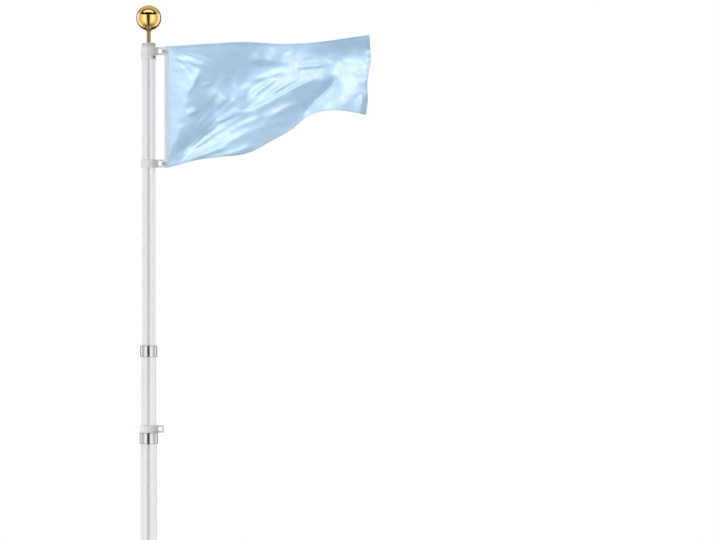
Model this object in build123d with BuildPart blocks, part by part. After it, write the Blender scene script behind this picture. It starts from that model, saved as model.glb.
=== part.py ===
"""Telescoping aluminium flagpole with its flag, from the ground up.

Six thin tubes slide in one another. Each outer tube carries a collar on its
top end, which guides the next tube, and each inner tube wears a guide bush on
its foot, which can't pass the collar above it. Lengths are in millimetres.
The origin is on the pole's axis at the ground, +Z is up and the flag flies
towards +X.
"""

import math
import os

from build123d import *

# Tubes, counted from 1 at the top of the pole to 6 at the ground
TOP_TUBE_DIAMETER = 53.0
TUBE_STEP = 5.0
TUBE_WALL = 1.4
TUBE_LENGTH = 1355.0
SECTION_COUNT = 6

# How far the sections stand drawn out: 1 and 3 fully, 2 partly, 4 and 5 pushed home
HALF_RAISED_PITCH = 348.0
HOME_GAP = 5.0
FOURTH_HOME_GAP = 14.0

# Fits
SLIDE_CLEARANCE = 0.25
PRESS_CLEARANCE = 0.05
SEAT_GAP = 0.3

# Collars
COLLAR_HEIGHT = 44.0
COLLAR_SHELF = 8.0
COLLAR_WALL = 5.0
COLLAR_BAND = 2.6
COLLAR_RELIEF = 0.5
COLLAR_EDGE = 1.0
COLLAR_LEAD_IN = 1.5
COLLAR_SEAT_DEPTH = 0.2
COLLAR_SEAT_RELIEF = 5.0
COLLAR_GROOVE_WIDTH = 3.0
COLLAR_GROOVE_DEPTH = 0.7

# Guide bushes
BUSH_SLEEVE = 145.0
BUSH_RIM = 4.0
BUSH_LAND = 22.0
BUSH_SKIN = 0.45
BUSH_SLIT = 2.5
STOP_GAP = 5.0

# Foot plug
PLUG_RIM = 5.0
PLUG_DEPTH = 35.0
PLUG_WALL = 3.0
PLUG_RIB = 3.0
PLUG_EDGE = 1.2

# Cap, spindle and ball
CAP_RIM = 14.0
CAP_OVERHANG = 0.5
CAP_DEPTH = 32.0
CAP_WALL = 3.0
CAP_EDGE = 1.5
CAP_BOSS_RADIUS = 11.0
SPINDLE_RADIUS = 8.0
SPINDLE_STUD_RADIUS = 5.0
SPINDLE_LENGTH = 52.0
SPINDLE_FLARE_RADIUS = 13.0
SPINDLE_FLARE_HEIGHT = 17.0
SPINDLE_FLARE_LIP = 2.0
STUD_IN_BALL = 16.0
BALL_RADIUS = 50.0
BALL_WALL = 1.2
BALL_NECK_WALL = 3.0

# Flag rings
RING_HEIGHT = 32.0
RING_WALL = 3.4
RING_RUNNING_GAP = 0.6
RING_EDGE = 0.8
CAP_TO_RING = 2.5
LUG_REACH = 61.0
LUG_THICKNESS = 8.0
LUG_ROOT_FILLET = 3.0
LUG_CORNER_FILLET = 2.5
LUG_HOLE_RADIUS = 9.0
LUG_WEB = 6.0
LOWER_RING_DROP = 466.0
SPARE_RING_HEIGHT = 30.0

# Stop ring and its screw
STOP_RING_HEIGHT = 17.0
STOP_RING_WALL = 3.6
STOP_RING_EDGE = 0.8
SCREW_SHANK_RADIUS = 2.5
SCREW_HEAD_RADIUS = 4.5
SCREW_HEAD_HEIGHT = 2.2
SCREW_HEAD_TAPER = 12.0
SCREW_SOCKET_RADIUS = 1.7
SCREW_SOCKET_DEPTH = 1.4
SCREW_BEARING = -43.0

# Flag, its heading and its eyelets
HEADING_GAP = 1.5
HEADING_WIDTH = 14.0
HEADING_THICKNESS = 3.0
HEADING_RISE = 20.0
HEADING_DROP = 18.0
EYELET_INSET = 7.0
EYELET_HOLE_RADIUS = 4.0
EYELET_RADIUS = 6.2
EYELET_FLANGE = 1.0
CLIP_WIRE_RADIUS = 1.8
CLIP_HALF_WIDTH = 7.0
CLIP_BEND_RADIUS = 2.8
FLAG_THICKNESS = 3.0
FLAG_REACH = 812.0
FLAG_SWELL = 30.0
FLY_TOP_INSET = 6.0
FLY_BULGE_DROP = 55.0
FLY_WAIST_INSET = 14.0
FLY_WAIST_DROP = 160.0
FLY_FOOT_INSET = 20.0
FLY_TRIM_MARGIN = 12.0

# The hung cloth's upright sections. Each is a share of the reach from the heading, then
# points from its top edge to its foot: the share of the hoist that the point lies below
# the heading's top, and the share of the swell that it stands out towards -Y
FLAG_SECTIONS = [
    (0.00, [(0.00, 0.0), (0.20, 0.0), (0.40, 0.0), (0.60, 0.0), (0.80, 0.0), (1.00, 0.0)]),
    (0.03, [(0.00, 0.1), (0.20, 0.2), (0.41, 0.4), (0.62, 0.4), (0.82, 0.1), (0.98, 0.0)]),
    (0.08, [(-0.01, 0.3), (0.22, 0.7), (0.45, 0.9), (0.68, 0.4), (0.84, -0.1), (0.96, 0.1)]),
    (0.15, [(-0.01, 0.6), (0.22, 0.9), (0.42, 0.6), (0.64, -0.2), (0.78, -0.2), (0.94, 0.1)]),
    (0.21, [(-0.02, 0.6), (0.10, 0.7), (0.31, 0.3), (0.53, -0.3), (0.77, 0.1), (0.92, 0.3)]),
    (0.37, [(-0.03, 0.1), (0.10, -0.3), (0.34, -0.8), (0.56, -0.1), (0.80, 0.6), (0.89, 0.3)]),
    (0.52, [(-0.02, -0.4), (0.10, -0.7), (0.24, -0.5), (0.42, 0.3), (0.59, 0.8), (0.77, 0.1)]),
    (0.66, [(-0.03, 0.0), (0.07, -0.3), (0.20, 0.1), (0.34, 0.8), (0.47, 0.3), (0.63, -0.2)]),
    (0.77, [(-0.04, 0.4), (0.08, -0.2), (0.18, 0.2), (0.28, 0.6), (0.39, 0.1), (0.53, 0.4)]),
    (0.88, [(-0.06, 0.6), (0.07, -0.2), (0.18, 0.2), (0.28, 0.5), (0.41, 0.9), (0.54, 0.9)]),
    (1.00, [(-0.09, 0.8), (0.06, -0.1), (0.14, 0.1), (0.24, 0.3), (0.39, 0.5), (0.57, 0.5)]),
]


def tube_radius(number):
    """Outside radius of a tube."""
    return TOP_TUBE_DIAMETER / 2 + (number - 1) * TUBE_STEP / 2


def tube_bore(number):
    """Inside radius of a tube."""
    return tube_radius(number) - TUBE_WALL


# Heights, worked out from the ground upwards
FULL_PITCH = TUBE_LENGTH - STOP_GAP - BUSH_SLEEVE
collar_pitch = {
    5: COLLAR_HEIGHT + HOME_GAP,
    4: COLLAR_HEIGHT + FOURTH_HOME_GAP,
    3: FULL_PITCH,
    2: HALF_RAISED_PITCH,
}
tube_foot = {SECTION_COUNT: PLUG_RIM}
collar_top = {SECTION_COUNT: PLUG_RIM + TUBE_LENGTH + COLLAR_SHELF}
for number in range(SECTION_COUNT - 1, 1, -1):
    collar_top[number] = collar_top[number + 1] + collar_pitch[number]
    tube_foot[number] = collar_top[number] - COLLAR_SHELF - TUBE_LENGTH
tube_foot[1] = collar_top[2] - COLLAR_SHELF - STOP_GAP - BUSH_SLEEVE
pole_top = tube_foot[1] + TUBE_LENGTH
cap_top = pole_top + CAP_RIM
upper_ring_foot = cap_top - CAP_RIM - CAP_TO_RING - RING_HEIGHT
stop_ring_foot = upper_ring_foot - RING_RUNNING_GAP - STOP_RING_HEIGHT
lower_ring_foot = cap_top - LOWER_RING_DROP - RING_HEIGHT
lug_hole_x = LUG_REACH - LUG_WEB - LUG_HOLE_RADIUS
heading_x = LUG_REACH + HEADING_GAP
eyelet_x = heading_x + EYELET_INSET
upper_eyelet_height = upper_ring_foot + RING_HEIGHT / 2
lower_eyelet_height = lower_ring_foot + RING_HEIGHT / 2
screw_height = stop_ring_foot + STOP_RING_HEIGHT / 2

pieces = []


def finish(piece, label):
    """Labels a finished piece and keeps it for export."""
    piece.part.label = label
    pieces.append(piece.part)


def revolved(outline):
    """Solid of revolution about the pole's axis from (radius, height) corners."""
    with BuildPart() as turned:
        with BuildSketch(Plane.XZ):
            with BuildLine():
                Polyline(*outline, close=True)
            make_face()
        revolve(axis=Axis.Z)
    return turned


def collar_seat(number):
    """Radius of the turned seat that a tube's top end has for its collar."""
    return tube_radius(number) - COLLAR_SEAT_DEPTH


def make_tube(number):
    """Drawn tube, whose top end is turned down and grooved where it carries a collar."""
    foot = tube_foot[number]
    top = foot + TUBE_LENGTH
    with BuildPart() as tube:
        with BuildSketch(Plane.XY.offset(foot)):
            Circle(tube_radius(number))
            Circle(tube_bore(number), mode=Mode.SUBTRACT)
        extrude(amount=TUBE_LENGTH)
        if number in collar_top:
            turned_foot = collar_top[number] - COLLAR_HEIGHT - COLLAR_SEAT_RELIEF
            groove = tube_radius(number) - COLLAR_GROOVE_DEPTH
            cuts = [(collar_seat(number), top - turned_foot), (groove, COLLAR_GROOVE_WIDTH)]
            for radius, length in cuts:
                with BuildSketch(Plane.XY.offset(turned_foot)):
                    Circle(tube_radius(number) + COLLAR_WALL)
                    Circle(radius, mode=Mode.SUBTRACT)
                extrude(amount=length, mode=Mode.SUBTRACT)
    finish(tube, f"section_{number}")


def make_collar(number):
    """Collar on a tube's top end: a shelf over the tube's end guides the next tube."""
    top = collar_top[number]
    foot = top - COLLAR_HEIGHT
    shelf = top - COLLAR_SHELF
    guide = tube_radius(number - 1) + SLIDE_CLEARANCE
    seat = collar_seat(number) + PRESS_CLEARANCE
    rim = tube_radius(number) + COLLAR_WALL
    face = rim - COLLAR_RELIEF
    collar = revolved(
        [
            (guide, shelf),
            (guide, top - COLLAR_LEAD_IN),
            (guide + COLLAR_LEAD_IN, top),
            (rim - COLLAR_EDGE, top),
            (rim, top - COLLAR_EDGE),
            (rim, top - COLLAR_BAND),
            (face, top - COLLAR_BAND - COLLAR_RELIEF),
            (face, foot + COLLAR_BAND + COLLAR_RELIEF),
            (rim, foot + COLLAR_BAND),
            (rim, foot + COLLAR_EDGE),
            (rim - COLLAR_EDGE, foot),
            (seat, foot),
            (seat, shelf),
        ]
    )
    finish(collar, f"collar_{number}")


def make_guide_bush(number):
    """Split sleeve on a tube's foot, with a bearing land at each end."""
    foot = tube_foot[number]
    top = foot + BUSH_SLEEVE
    land = tube_bore(number + 1) - SLIDE_CLEARANCE
    seat = tube_radius(number) + PRESS_CLEARANCE
    waist = seat + BUSH_SKIN
    with BuildPart() as bush:
        with BuildSketch(Plane.XZ):
            with BuildLine():
                Polyline(
                    (tube_bore(number), foot - BUSH_RIM),
                    (land, foot - BUSH_RIM),
                    (land, foot + BUSH_LAND),
                    (waist, foot + BUSH_LAND),
                    (waist, top - BUSH_LAND),
                    (land, top - BUSH_LAND),
                    (land, top),
                    (seat, top),
                    (seat, foot),
                    (tube_bore(number), foot),
                    close=True,
                )
            make_face()
        revolve(axis=Axis.Z)
        with BuildSketch(Plane.XY.offset(foot)):
            with Locations((0, -land)):
                Rectangle(BUSH_SLIT, 2 * (land - tube_bore(number) + BUSH_RIM))
        extrude(amount=BUSH_SLEEVE, mode=Mode.SUBTRACT)
    finish(bush, f"guide_bush_{number}")


def make_base_plug():
    """Cup that closes the lowest tube, with a cross of ribs inside."""
    spigot = tube_bore(SECTION_COUNT) - PRESS_CLEARANCE
    hollow = spigot - PLUG_WALL
    with BuildPart() as plug:
        with BuildSketch():
            Circle(tube_radius(SECTION_COUNT))
        extrude(amount=PLUG_RIM)
        chamfer(plug.edges().group_by(Axis.Z)[0], length=PLUG_EDGE)
        with BuildSketch(Plane.XY.offset(PLUG_RIM)):
            Circle(spigot)
            Circle(hollow, mode=Mode.SUBTRACT)
            Rectangle(2 * hollow + PLUG_WALL, PLUG_RIB)
            Rectangle(PLUG_RIB, 2 * hollow + PLUG_WALL)
        extrude(amount=PLUG_DEPTH)
    finish(plug, "base_plug")


def make_pole_cap():
    """Cap plug of the top tube, with a boss that holds the spindle's stud."""
    spigot = tube_bore(1) - PRESS_CLEARANCE
    rim = tube_radius(1) + CAP_OVERHANG
    stud = SPINDLE_STUD_RADIUS + PRESS_CLEARANCE
    with BuildPart() as cap:
        with BuildSketch(Plane.XY.offset(pole_top)):
            Circle(rim)
        extrude(amount=CAP_RIM)
        fillet(cap.edges().group_by(Axis.Z)[-1], radius=CAP_EDGE)
        with BuildSketch(Plane.XY.offset(pole_top - CAP_DEPTH)):
            Circle(spigot)
            Circle(spigot - CAP_WALL, mode=Mode.SUBTRACT)
            Circle(CAP_BOSS_RADIUS)
        extrude(amount=CAP_DEPTH)
        with BuildSketch(Plane.XY.offset(pole_top - CAP_DEPTH)):
            Circle(stud)
        extrude(amount=CAP_DEPTH + CAP_RIM, mode=Mode.SUBTRACT)
    finish(cap, "pole_cap")


def make_spindle():
    """Rod between cap and ball: a stud at each end and a flare under the ball."""
    flare_top = cap_top + SPINDLE_LENGTH
    flare_foot = flare_top - SPINDLE_FLARE_HEIGHT
    with BuildPart() as spindle:
        with BuildSketch(Plane.XZ):
            with BuildLine():
                Polyline(
                    (SPINDLE_RADIUS, flare_foot),
                    (SPINDLE_RADIUS, cap_top),
                    (SPINDLE_STUD_RADIUS, cap_top),
                    (SPINDLE_STUD_RADIUS, pole_top - CAP_DEPTH),
                    (0, pole_top - CAP_DEPTH),
                    (0, flare_top + STUD_IN_BALL),
                    (SPINDLE_STUD_RADIUS, flare_top + STUD_IN_BALL),
                    (SPINDLE_STUD_RADIUS, flare_top),
                    (SPINDLE_FLARE_RADIUS, flare_top),
                    (SPINDLE_FLARE_RADIUS, flare_top - SPINDLE_FLARE_LIP),
                )
                Spline(
                    (SPINDLE_FLARE_RADIUS, flare_top - SPINDLE_FLARE_LIP),
                    (SPINDLE_RADIUS, flare_foot),
                    tangents=[(-1, -0.35), (0, -1)],
                )
            make_face()
        revolve(axis=Axis.Z)
    finish(spindle, "finial_spindle")


def make_ball():
    """Spun ball: a thin shell whose thicker neck stands on the spindle's flare."""
    flat_depth = math.sqrt(BALL_RADIUS**2 - SPINDLE_FLARE_RADIUS**2)
    flat = cap_top + SPINDLE_LENGTH
    centre = flat + flat_depth
    socket = SPINDLE_STUD_RADIUS + PRESS_CLEARANCE
    neck = socket + BALL_NECK_WALL
    neck_top = flat + STUD_IN_BALL
    hollow = BALL_RADIUS - BALL_WALL
    hollow_foot = centre - math.sqrt(hollow**2 - neck**2)
    with BuildPart() as ball:
        with BuildSketch(Plane.XZ):
            with BuildLine():
                ThreePointArc(
                    (SPINDLE_FLARE_RADIUS, flat),
                    (BALL_RADIUS, centre),
                    (0, centre + BALL_RADIUS),
                )
                Line((0, centre + BALL_RADIUS), (0, centre + hollow))
                ThreePointArc((0, centre + hollow), (hollow, centre), (neck, hollow_foot))
                Polyline(
                    (neck, hollow_foot),
                    (neck, neck_top),
                    (socket, neck_top),
                    (socket, flat),
                    (SPINDLE_FLARE_RADIUS, flat),
                )
            make_face()
        revolve(axis=Axis.Z)
    finish(ball, "finial_ball")


def make_ring(name, inner_tube, foot, height):
    """Plain ring around a tube with a flat lug and its eye towards the flag."""
    bore = tube_radius(inner_tube) + RING_RUNNING_GAP
    with BuildPart() as ring:
        with BuildSketch(Plane.XY.offset(foot)) as plan:
            Circle(bore + RING_WALL)
            with Locations((LUG_REACH / 2, 0)):
                Rectangle(LUG_REACH, LUG_THICKNESS)
            roots = plan.vertices().group_by(Axis.X)[-2]
            fillet(roots, radius=LUG_ROOT_FILLET)
            Circle(bore, mode=Mode.SUBTRACT)
        extrude(amount=height)
        corners = ring.edges().filter_by(Axis.Y).group_by(Axis.X)[-1]
        fillet(corners, radius=LUG_CORNER_FILLET)
        with BuildSketch(Plane.XZ.offset(-LUG_THICKNESS)):
            with Locations((lug_hole_x, foot + height / 2)):
                Circle(LUG_HOLE_RADIUS)
        extrude(amount=2 * LUG_THICKNESS, mode=Mode.SUBTRACT)
        mouths = ring.edges().filter_by(GeomType.CIRCLE)
        mouths = mouths.filter_by(lambda edge: abs(edge.radius - bore) < SLIDE_CLEARANCE)
        chamfer(mouths, length=RING_EDGE)
    finish(ring, name)


def make_stop_ring():
    """Ring clamped on the top tube under the upper flag ring."""
    bore = tube_radius(1) + PRESS_CLEARANCE
    rim = bore + STOP_RING_WALL
    foot = stop_ring_foot
    top = foot + STOP_RING_HEIGHT
    with BuildPart() as ring:
        with BuildSketch(Plane.XY.offset(foot)):
            Circle(rim)
            Circle(bore, mode=Mode.SUBTRACT)
        extrude(amount=top - foot)
        circles = ring.edges().filter_by(GeomType.CIRCLE)
        outer_edges = circles.filter_by(lambda edge: edge.radius > rim - PRESS_CLEARANCE)
        chamfer(outer_edges, length=STOP_RING_EDGE)
        with BuildSketch(screw_plane()):
            Circle(SCREW_SHANK_RADIUS + PRESS_CLEARANCE)
        extrude(amount=rim, mode=Mode.SUBTRACT)
    finish(ring, "stop_ring")


def screw_plane():
    """Plane on the pole's axis that faces along the stop screw."""
    bearing = math.radians(SCREW_BEARING)
    outwards = (math.cos(bearing), math.sin(bearing), 0)
    return Plane(origin=(0, 0, screw_height), z_dir=outwards)


def make_stop_screw():
    """Round-headed screw whose point bears on the top tube."""
    point = tube_radius(1) + PRESS_CLEARANCE
    head = point + STOP_RING_WALL
    socket = head + SCREW_HEAD_HEIGHT - SCREW_SOCKET_DEPTH
    with BuildPart() as screw:
        with BuildSketch(screw_plane().offset(point)):
            Circle(SCREW_SHANK_RADIUS)
        extrude(amount=STOP_RING_WALL)
        with BuildSketch(screw_plane().offset(head)):
            Circle(SCREW_HEAD_RADIUS)
        extrude(amount=SCREW_HEAD_HEIGHT, taper=SCREW_HEAD_TAPER)
        with BuildSketch(screw_plane().offset(socket)):
            RegularPolygon(SCREW_SOCKET_RADIUS, 6)
        extrude(amount=SCREW_SOCKET_DEPTH, mode=Mode.SUBTRACT)
    finish(screw, "stop_screw")


def make_clip(name, height):
    """Closed wire link through a lug's eye and the flag's eyelet."""
    pole_side = LUG_REACH - LUG_WEB - SEAT_GAP - CLIP_WIRE_RADIUS
    flag_side = eyelet_x - EYELET_HOLE_RADIUS + SEAT_GAP + CLIP_WIRE_RADIUS
    with BuildPart() as clip:
        with BuildLine(Plane.XY.offset(height)) as route:
            FilletPolyline(
                (pole_side, -CLIP_HALF_WIDTH),
                (flag_side, -CLIP_HALF_WIDTH),
                (flag_side, CLIP_HALF_WIDTH),
                (pole_side, CLIP_HALF_WIDTH),
                radius=CLIP_BEND_RADIUS,
                close=True,
            )
        loop = route.wires()[0]
        with BuildSketch(Plane(origin=loop @ 0, z_dir=loop % 0)):
            Circle(CLIP_WIRE_RADIUS)
        sweep(path=loop)
    finish(clip, name)


def make_eyelet(name, height):
    """Brass eyelet in the heading: a barrel with a flange on each face."""
    barrel = EYELET_RADIUS - EYELET_FLANGE
    half = HEADING_THICKNESS / 2
    plane = Plane(origin=(eyelet_x, 0, height), z_dir=(0, -1, 0))
    with BuildPart() as eyelet:
        with BuildSketch(plane.offset(-half)):
            Circle(barrel)
        extrude(amount=HEADING_THICKNESS)
        for side in (-half - EYELET_FLANGE, half):
            with BuildSketch(plane.offset(side)):
                Circle(EYELET_RADIUS)
            extrude(amount=EYELET_FLANGE)
        with BuildSketch(plane.offset(-half - EYELET_FLANGE)):
            Circle(EYELET_HOLE_RADIUS)
        extrude(amount=HEADING_THICKNESS + 2 * EYELET_FLANGE, mode=Mode.SUBTRACT)
    finish(eyelet, name)


def make_heading():
    """Doubled white strip along the flag's hoist, with a hole for each eyelet."""
    foot = lower_eyelet_height - HEADING_DROP
    top = upper_eyelet_height + HEADING_RISE
    barrel_hole = EYELET_RADIUS - EYELET_FLANGE + SEAT_GAP
    with BuildPart() as heading:
        with BuildSketch(Plane.XZ.offset(-HEADING_THICKNESS / 2)):
            with Locations((heading_x + HEADING_WIDTH / 2, (foot + top) / 2)):
                Rectangle(HEADING_WIDTH, top - foot)
            with Locations((eyelet_x, upper_eyelet_height), (eyelet_x, lower_eyelet_height)):
                Circle(barrel_hole, mode=Mode.SUBTRACT)
        extrude(amount=HEADING_THICKNESS)
    finish(heading, "flag_heading")


def make_flag():
    """Cloth hanging out in a light wind, lofted through its sections and cut at the fly."""
    start = heading_x + HEADING_WIDTH
    end = start + FLAG_REACH
    top = upper_eyelet_height + HEADING_RISE
    hoist = top - lower_eyelet_height + HEADING_DROP
    half = FLAG_THICKNESS / 2
    with BuildPart() as flag:
        for reach, points in FLAG_SECTIONS:
            front = [(-swell * FLAG_SWELL - half, top - drop * hoist) for drop, swell in points]
            back = [(y + FLAG_THICKNESS, z) for y, z in reversed(front)]
            with BuildSketch(Plane.YZ.offset(start + reach * FLAG_REACH)):
                with BuildLine():
                    Spline(*front)
                    Line(front[-1], back[0])
                    Spline(*back)
                    Line(back[-1], front[0])
                make_face()
        loft()
        fly_section = FLAG_SECTIONS[-1][1]
        fly_top = top - fly_section[0][0] * hoist + FLY_TRIM_MARGIN
        fly_foot = top - fly_section[-1][0] * hoist - FLY_TRIM_MARGIN
        outside = end + FLY_TRIM_MARGIN
        with BuildSketch(Plane.XZ.offset(-2 * FLAG_SWELL)):
            with BuildLine():
                fly = Spline(
                    (end - FLY_TOP_INSET, fly_top),
                    (end, top - FLY_BULGE_DROP),
                    (end - FLY_WAIST_INSET, top - FLY_WAIST_DROP),
                    (end - FLY_FOOT_INSET, fly_foot),
                )
                Polyline(fly @ 1, (outside, fly_foot), (outside, fly_top), fly @ 0)
            make_face()
        extrude(amount=4 * FLAG_SWELL, mode=Mode.SUBTRACT)
    finish(flag, "flag")


make_base_plug()
for number in range(SECTION_COUNT, 0, -1):
    make_tube(number)
for number in range(SECTION_COUNT, 1, -1):
    make_collar(number)
for number in range(SECTION_COUNT - 1, 0, -1):
    make_guide_bush(number)
make_ring("spare_ring", 2, collar_top[3] + SEAT_GAP, SPARE_RING_HEIGHT)
make_pole_cap()
make_spindle()
make_ball()
make_stop_ring()
make_stop_screw()
make_ring("upper_ring", 1, upper_ring_foot, RING_HEIGHT)
make_ring("lower_ring", 1, lower_ring_foot, RING_HEIGHT)
make_clip("upper_clip", upper_eyelet_height)
make_clip("lower_clip", lower_eyelet_height)
make_eyelet("upper_eyelet", upper_eyelet_height)
make_eyelet("lower_eyelet", lower_eyelet_height)
make_heading()
make_flag()

os.makedirs("parts", exist_ok=True)
for piece in pieces:
    export_step(piece, f"parts/{piece.label}.step")
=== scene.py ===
"""Cloth, trimmings, finishes, studio and camera of a telescoping flagpole.

The file is laid out as an add-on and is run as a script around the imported
model. Lengths are in metres, the pole stands on the origin, +Z is up and the
flag flies towards +X. The camera looks along +Y.
"""

import math

import bpy
import numpy as np
from bpy.props import FloatProperty, IntProperty, PointerProperty, StringProperty
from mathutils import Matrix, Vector


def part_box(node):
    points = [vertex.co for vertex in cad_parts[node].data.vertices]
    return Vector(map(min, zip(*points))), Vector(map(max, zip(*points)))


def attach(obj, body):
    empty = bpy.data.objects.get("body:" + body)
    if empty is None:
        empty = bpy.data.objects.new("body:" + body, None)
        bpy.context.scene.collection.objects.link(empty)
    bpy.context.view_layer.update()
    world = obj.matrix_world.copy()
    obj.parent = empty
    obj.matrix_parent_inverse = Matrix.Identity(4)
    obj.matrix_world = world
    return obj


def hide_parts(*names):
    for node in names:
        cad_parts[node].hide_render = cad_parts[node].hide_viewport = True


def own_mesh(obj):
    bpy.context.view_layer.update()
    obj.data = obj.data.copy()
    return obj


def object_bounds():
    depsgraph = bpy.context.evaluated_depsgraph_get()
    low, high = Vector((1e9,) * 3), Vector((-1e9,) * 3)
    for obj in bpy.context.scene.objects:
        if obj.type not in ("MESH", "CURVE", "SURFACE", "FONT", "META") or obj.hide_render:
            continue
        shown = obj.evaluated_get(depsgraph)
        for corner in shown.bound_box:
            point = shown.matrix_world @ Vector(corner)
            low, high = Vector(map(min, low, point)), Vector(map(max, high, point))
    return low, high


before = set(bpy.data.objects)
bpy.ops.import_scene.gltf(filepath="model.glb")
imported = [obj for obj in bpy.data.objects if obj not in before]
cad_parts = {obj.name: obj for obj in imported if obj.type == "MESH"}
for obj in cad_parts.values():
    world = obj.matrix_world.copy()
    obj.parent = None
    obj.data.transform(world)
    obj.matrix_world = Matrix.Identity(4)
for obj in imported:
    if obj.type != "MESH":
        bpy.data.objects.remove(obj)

bl_info = {
    "name": "Telescoping flagpole",
    "version": (1, 0, 0),
    "blender": (4, 5, 0),
    "location": "View3D > Sidebar > Flagpole",
    "description": "Adds the cloth, the finishes and the studio of a telescoping flagpole",
    "category": "Object",
}

MM = 0.001

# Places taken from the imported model
CAD_LOW, CAD_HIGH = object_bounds()
CAP_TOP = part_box("pole_cap")[1].z
HEADING_LOW, HEADING_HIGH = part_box("flag_heading")
UPPER_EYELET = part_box("upper_eyelet")
LOWER_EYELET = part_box("lower_eyelet")
EYELET_RADIUS = (UPPER_EYELET[1].x - UPPER_EYELET[0].x) / 2
UPPER_EYELET_Z = (UPPER_EYELET[0].z + UPPER_EYELET[1].z) / 2
LOWER_EYELET_Z = (LOWER_EYELET[0].z + LOWER_EYELET[1].z) / 2
FLAG_BODY = "flag_and_upper_ring"
LOWER_BODY = "lower_flag_ring"

# The heading tape is made in three stretches: its two ends round their eyelets, and the middle
TAPE_END_REACH = 16 * MM
UPPER_TAPE_END = UPPER_EYELET_Z - TAPE_END_REACH
LOWER_TAPE_END = LOWER_EYELET_Z + TAPE_END_REACH

# Tape: a layer's thickness, points across its cut width, and spacing of its rows of points
TAPE_LAYER = 1.0 * MM
TAPE_COLUMNS = 49
TAPE_ROW = 2.1 * MM
# Share by which it puckers, the puckers' spacing, and how far in radians they wander over
# which length
PUCKER = 0.05
PUCKER_SPACING = 13 * MM
PUCKER_SHIFT = 2
PUCKER_WANDER = 31 * MM
# Its two rows of stitches across the tape, and how far they stand out from it
TAPE_SEAMS = (HEADING_LOW.x + 1.9 * MM, HEADING_HIGH.x - 1.3 * MM)
TAPE_STITCH_LIFT = 0.05 * MM

# Turned hem: rows of points at shares of its width, the seam's place and width and the
# hem's end as such shares, and the thickness that the hem adds and the seam takes away
HEM_ROWS = (0.22, 0.55, 0.78, 1.0, 1.15)
HEM_SEAM = 0.78
SEAM_WIDTH = 0.12
HEM_FADE = 0.1
HEM_ADDS = 1.2
SEAM_TAKES = 0.9
# The cloth's edge thins by a share of its thickness, over a share of the hem
EDGE_TAKES = 0.5
EDGE_WIDTH = 0.2
# Half the cloth's thickness where it is sewn in between the tape's layers
TUCKED_HALF = 0.2 * MM

# Stitch: rings of points along it, points round it, and the share of its radius that its
# ends lose. On the hem its middle lies at a share of the cloth's thickness
STITCH_RINGS = 5
STITCH_SIDES = 6
STITCH_TAPER = 0.85
HEM_STITCH_LIFT = 0.62
# Step, as a share of the cloth, over which its slope is measured for a stitch
SLOPE_STEP = 0.0015

# Punch for the eyelets' holes: its sides, how much smaller than the eyelet, and its reach
PUNCH_SIDES = 40
PUNCH_INSET = 0.8 * MM
PUNCH_REACH = 8 * MM
EYELET_SIDES = 48

# The cloth's outline in millimetres from the pole's axis and the cap's top. Its hoist edge
# lies a little way inside the folded heading tape
HOIST_X = HEADING_HIGH.x / MM
HOIST_TUCK = 1.6
TOP_EDGE = [(HOIST_X - HOIST_TUCK, -13), (205, -7), (377, 3), (541, -2), (669, 3), (785, 17), (882, 31)]
FLY_EDGE = [(868, -290), (876, -230), (874, -170), (879, -120), (888, -68), (886, -20), (882, 31)]
FOOT_EDGE = [
    (HOIST_X - HOIST_TUCK, -499), (205, -466), (300, -455), (389, -443), (497, -388),
    (573, -344), (640, -290), (700, -272), (777, -272), (826, -280), (868, -290),
]

# Main form: points along crests, valleys and edges, with the height of the cloth towards
# the viewer at each
MAIN_LINES = {
    "heading": [(76.5, -13, 0), (76.5, -130, 0), (76.5, -250, 0), (76.5, -370, 0), (76.5, -499, 0)],
    "hoist crest": [
        (236, -86, 25), (204, -132, 26), (168, -180, 27), (146, -235, 27), (126, -300, 22),
        (106, -360, 17), (90, -430, 8),
    ],
    "upper valley": [
        (275, -140, 5), (322, -178, -8), (398, -184, -15), (446, -140, -16), (486, -106, -12),
        (540, -92, -4),
    ],
    "saddle": [(236, -184, 15), (290, -212, 16), (350, -226, 13)],
    "lower valley": [(258, -262, -5), (262, -316, -9)],
    "band": [(120, -392, 15), (168, -350, 15), (222, -330, 8)],
    "corner valley": [(86, -484, -4), (100, -468, -6), (150, -414, -9), (222, -360, -8)],
    "top valley": [(620, -48, -8), (700, -50, -8), (785, -40, -8), (884, -24, -4)],
    "main crest": [
        (180, -462, 6), (300, -426, 11), (389, -392, 13), (461, -338, 14), (530, -266, 12),
        (585, -206, 11), (635, -164, 10), (700, -150, 9), (757, -144, 9),
    ],
    "crease": [(735, -166, 1), (690, -208, -7), (634, -262, -12)],
    "top edge": [
        (150, -10, 16), (250, 0, 30), (377, 3, 20), (460, 0, -6), (541, -2, -12), (620, 1, -2),
        (700, 7, 16), (785, 17, 25), (882, 31, 31),
    ],
    "fly edge": [(888, -80, 6), (880, -130, 18), (874, -180, 26), (876, -240, 29), (868, -290, 28)],
    "fly corner": [(705, -262, 14), (765, -225, 26), (825, -180, 30), (848, -240, 35), (800, -274, 30)],
    "foot edge": [
        (205, -464, 4), (300, -455, 9), (389, -443, 7), (445, -414, 3), (497, -388, -2),
        (573, -344, -9), (617, -312, -13),
    ],
}
# Radius over which the form is rounded at its points
LINE_ROUNDING = 22

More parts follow.
